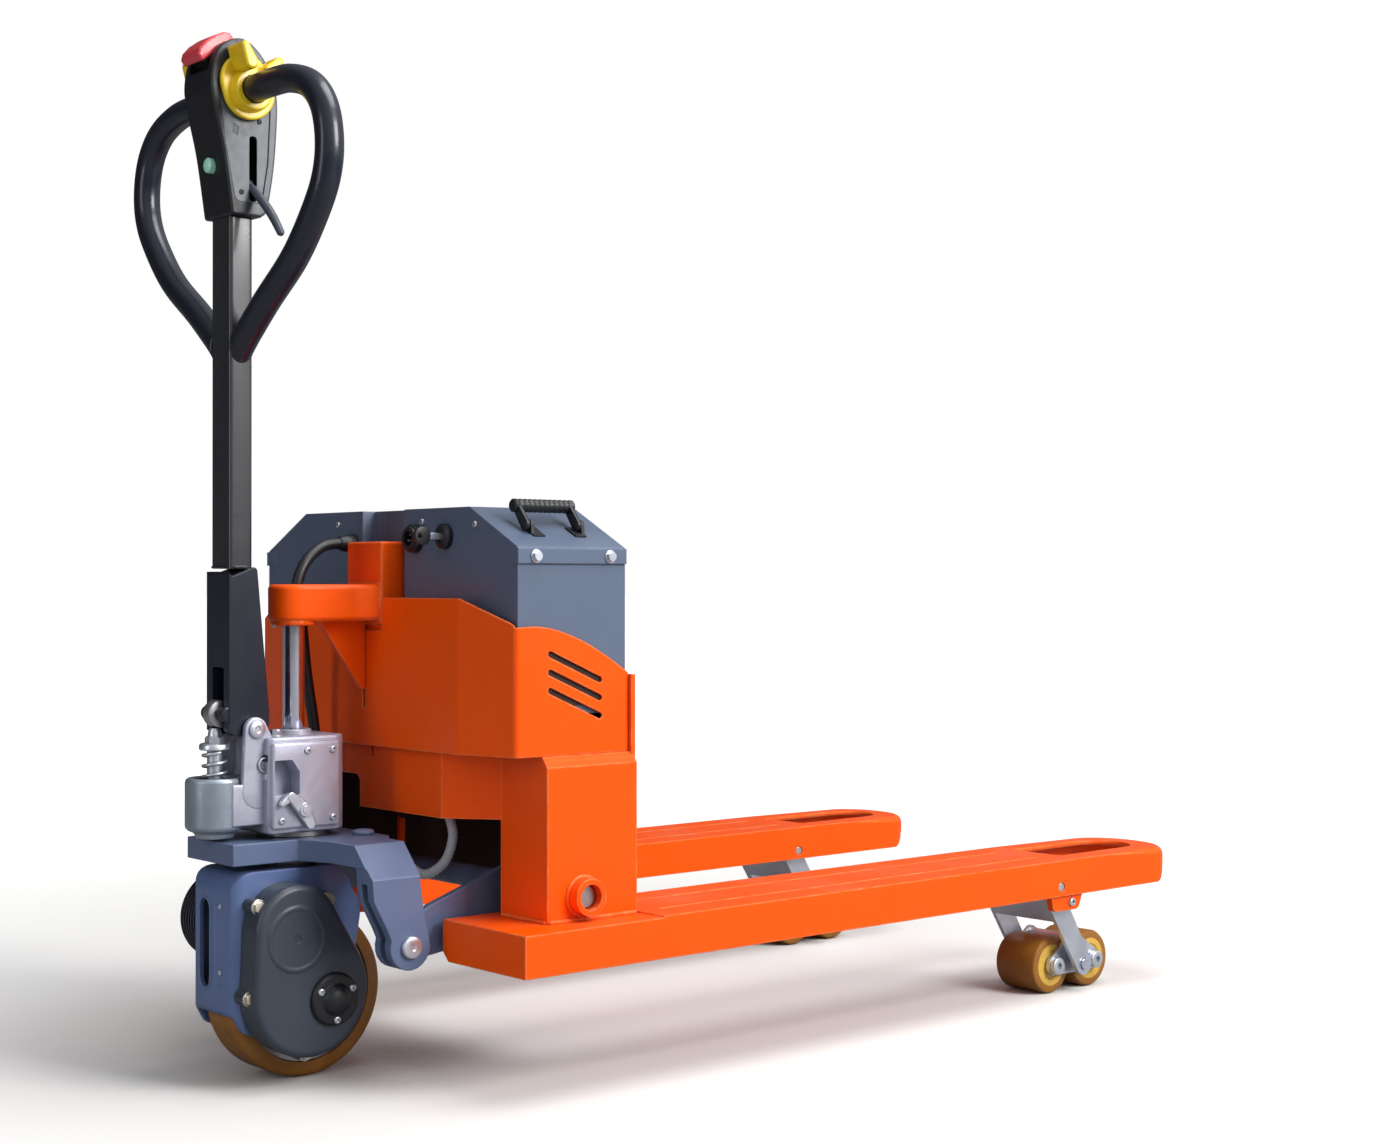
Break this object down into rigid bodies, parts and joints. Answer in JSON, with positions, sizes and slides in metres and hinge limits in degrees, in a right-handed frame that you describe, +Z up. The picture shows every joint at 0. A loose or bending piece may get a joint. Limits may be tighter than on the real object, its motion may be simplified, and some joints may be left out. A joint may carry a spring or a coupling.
{
  "type": "pallet jack",
  "caption": "Semi-electric pallet truck: hand-pumped forks, powered steerable drive wheel under a tilting tiller, battery box over the fork heels.",
  "frame": {"origin": "on the floor under the middle of the truck's box, on its centre plane", "axes": "+X to the truck's right seen from the operator, +Y towards the fork tips, +Z up"},
  "size_m": [0.685, 1.4277, 1.2192],
  "materials": {
    "orange_paint": "gloss powder coat",
    "blue_grey_paint": "satin paint on cast iron",
    "charcoal_paint": "satin paint on cast alloy",
    "slate_cover": "fine textured powder coat",
    "black_powder": "satin black powder coat",
    "chrome": "polished hard chrome",
    "zinc": "bright zinc plate",
    "pump_alloy": "sprayed silver on a casting",
    "steel": "machined",
    "polyurethane": "amber polyurethane",
    "black_plastic": "grained",
    "yellow_plastic": "smooth",
    "red_plastic": "smooth",
    "teal_plastic": "smooth"
  },
  "bodies": {
    "base": {"base_plate": "blue_grey_paint", "base_pin_left": "zinc", "base_pin_right": "zinc", "thrust_bearing": "steel"},
    "chassis": {"fork_left": "orange_paint", "fork_right": "orange_paint", "chassis_frame": "orange_paint", "body_shell": "orange_paint", "battery_cover": "slate_cover", "crosshead": "orange_paint", "lift_ram": "chrome", "battery": "black_plastic", "motor_controller": "steel", "key_switch": "black_plastic", "power_cable": "black_plastic", "charge_socket": "black_plastic", "arm_pivot_left": "zinc", "arm_pivot_right": "zinc", "harness_conduit": "pump_alloy"},
    "key": {"key": "steel"},
    "lid_handle": {"lid_handle": "black_plastic"},
    "rocker": {"rocker_frame": "blue_grey_paint"},
    "pushrod_left": {"pushrod_left": "steel"},
    "pushrod_right": {"pushrod_right": "steel"},
    "arm_left": {"load_arm_left": "zinc"},
    "arm_right": {"load_arm_right": "zinc"},
    "bogie_left": {"bogie_left": "zinc", "roller_axle_left_front": "zinc", "roller_axle_left_rear": "zinc"},
    "bogie_right": {"bogie_right": "zinc", "roller_axle_right_front": "zinc", "roller_axle_right_rear": "zinc"},
    "roller_left_front": {"load_roller_left_front": "polyurethane"},
    "roller_left_rear": {"load_roller_left_rear": "polyurethane"},
    "roller_right_front": {"load_roller_right_front": "polyurethane"},
    "roller_right_rear": {"load_roller_right_rear": "polyurethane"},
    "drive_unit": {"pump_body": "pump_alloy", "drive_housing": "blue_grey_paint", "gear_cover": "charcoal_paint", "drive_motor": "black_powder", "hub_cap": "black_plastic", "plunger_spring": "steel"},
    "drive_wheel": {"drive_tyre": "polyurethane", "drive_rim": "steel", "wheel_gear": "steel"},
    "idler": {"idler_gear": "steel"},
    "pinion": {"motor_pinion": "steel"},
    "plunger": {"plunger": "zinc"},
    "tiller": {"tiller_yoke": "black_powder", "tiller_tube": "black_powder", "handle_loop": "black_powder", "head_front": "black_plastic", "head_rear": "charcoal_paint", "tiller_pin": "zinc"},
    "pump_roller": {"pump_roller": "steel"},
    "throttle": {"throttle": "yellow_plastic"},
    "belly_button": {"belly_button": "red_plastic"},
    "lift_lever": {"lift_lever": "black_plastic"},
    "horn_button": {"horn_button": "teal_plastic"},
    "valve_lever": {"valve_lever": "zinc"}
  },
  "joints": [
    {"name": "lift", "type": "slide", "parent": "base", "child": "chassis", "axis": [0, 0, 1], "range_m": [-0.11, 0], "deforming": ["power_cable", "harness_conduit"]},
    {"name": "steer", "type": "hinge", "parent": "base", "child": "drive_unit", "pos_m": [0, -0.576, 0.15], "axis": [0, 0, 1], "range_deg": [-90, 90]},
    {"name": "drive_wheel_spin", "type": "hinge", "parent": "drive_unit", "child": "drive_wheel", "pos_m": [0, -0.578, 0.1], "axis": [1, 0, 0], "continuous": true},
    {"name": "rocker_turn", "type": "hinge", "parent": "chassis", "child": "rocker", "pos_m": [0, -0.369, 0.221], "axis": [1, 0, 0], "range_deg": [-37.56, 0]},
    {"name": "idler_spin", "type": "hinge", "parent": "drive_unit", "child": "idler", "pos_m": [0, -0.61313, 0.16285], "axis": [1, 0, 0], "continuous": true},
    {"name": "pinion_spin", "type": "hinge", "parent": "drive_unit", "child": "pinion", "pos_m": [0, -0.63508, 0.20213], "axis": [1, 0, 0], "continuous": true},
    {"name": "pushrod_left_slide", "type": "slide", "parent": "chassis", "child": "pushrod_left", "axis": [0, 1, 0], "range_m": [-0.0192, 0]},
    {"name": "arm_left_turn", "type": "hinge", "parent": "chassis", "child": "arm_left", "pos_m": [-0.2625, 0.439, 0.158], "axis": [1, 0, 0], "range_deg": [0, 54.33]},
    {"name": "bogie_left_level", "type": "hinge", "parent": "arm_left", "child": "bogie_left", "pos_m": [-0.2625, 0.514, 0.04], "axis": [1, 0, 0], "range_deg": [-54.33, 0]},
    {"name": "roller_left_front_spin", "type": "hinge", "parent": "bogie_left", "child": "roller_left_front", "pos_m": [-0.2625, 0.471, 0.04], "axis": [1, 0, 0], "continuous": true},
    {"name": "roller_left_rear_spin", "type": "hinge", "parent": "bogie_left", "child": "roller_left_rear", "pos_m": [-0.2625, 0.557, 0.04], "axis": [1, 0, 0], "continuous": true},
    {"name": "pushrod_right_slide", "type": "slide", "parent": "chassis", "child": "pushrod_right", "axis": [0, 1, 0], "range_m": [-0.0192, 0]},
    {"name": "arm_right_turn", "type": "hinge", "parent": "chassis", "child": "arm_right", "pos_m": [0.2625, 0.439, 0.158], "axis": [1, 0, 0], "range_deg": [0, 54.33]},
    {"name": "bogie_right_level", "type": "hinge", "parent": "arm_right", "child": "bogie_right", "pos_m": [0.2625, 0.514, 0.04], "axis": [1, 0, 0], "range_deg": [-54.33, 0]},
    {"name": "roller_right_front_spin", "type": "hinge", "parent": "bogie_right", "child": "roller_right_front", "pos_m": [0.2625, 0.471, 0.04], "axis": [1, 0, 0], "continuous": true},
    {"name": "roller_right_rear_spin", "type": "hinge", "parent": "bogie_right", "child": "roller_right_rear", "pos_m": [0.2625, 0.557, 0.04], "axis": [1, 0, 0], "continuous": true},
    {"name": "tiller_tilt", "type": "hinge", "parent": "drive_unit", "child": "tiller", "pos_m": [0, -0.646, 0.412], "axis": [1, 0, 0], "range_deg": [0, 75]},
    {"name": "plunger_slide", "type": "slide", "parent": "drive_unit", "child": "plunger", "axis": [0, 0, 1], "range_m": [-0.0435, 0], "deforming": ["plunger_spring"]},
    {"name": "pump_roller_spin", "type": "hinge", "parent": "tiller", "child": "pump_roller", "pos_m": [0, -0.676, 0.43], "axis": [1, 0, 0], "continuous": true},
    {"name": "throttle_turn", "type": "hinge", "parent": "tiller", "child": "throttle", "pos_m": [0, -0.658, 1.15], "axis": [1, 0, 0], "range_deg": [-30, 30], "stiffness_Nm_per_rad": 2},
    {"name": "belly_button_slide", "type": "slide", "parent": "tiller", "child": "belly_button", "axis": [0, 0.6, -0.8], "range_m": [0, 0.008], "stiffness_N_per_m": 900, "springref_m": -0.003},
    {"name": "horn_button_slide", "type": "slide", "parent": "tiller", "child": "horn_button", "axis": [0, 1, 0], "range_m": [0, 0.003], "stiffness_N_per_m": 600, "springref_m": -0.002},
    {"name": "lift_lever_turn", "type": "hinge", "parent": "tiller", "child": "lift_lever", "pos_m": [0.02, -0.649, 1.044], "axis": [0, -1, 0], "range_deg": [0, 30], "stiffness_Nm_per_rad": 0.6, "springref_deg": -17.19},
    {"name": "valve_lever_turn", "type": "hinge", "parent": "drive_unit", "child": "valve_lever", "pos_m": [0.06, -0.598, 0.318], "axis": [1, 0, 0], "range_deg": [0, 20]},
    {"name": "key_turn", "type": "hinge", "parent": "chassis", "child": "key", "pos_m": [0.136, -0.466, 0.637], "axis": [0, 1, 0], "range_deg": [0, 90]},
    {"name": "lid_handle_fold", "type": "hinge", "parent": "chassis", "child": "lid_handle", "pos_m": [0.244, -0.376, 0.65], "axis": [0, 1, 0], "range_deg": [0, 60]}
  ],
  "couplings": [
    {"joint": "rocker_turn", "follows": "lift", "rad_per_m": 5.9509},
    {"joint": "idler_spin", "follows": "drive_wheel_spin", "ratio": -1.4},
    {"joint": "pinion_spin", "follows": "drive_wheel_spin", "ratio": 2.8},
    {"joint": "pushrod_left_slide", "follows": "lift", "ratio": 0.17318},
    {"joint": "arm_left_turn", "follows": "lift", "rad_per_m": -8.6124},
    {"joint": "bogie_left_level", "follows": "lift", "rad_per_m": 8.6124},
    {"joint": "pushrod_right_slide", "follows": "lift", "ratio": 0.17318},
    {"joint": "arm_right_turn", "follows": "lift", "rad_per_m": -8.6124},
    {"joint": "bogie_right_level", "follows": "lift", "rad_per_m": 8.6124},
    {"joint": "plunger_slide", "follows": "tiller_tilt", "m_per_rad": -0.033},
    {"joint": "valve_lever_turn", "follows": "lift_lever_turn", "ratio": 0.6}
  ]
}
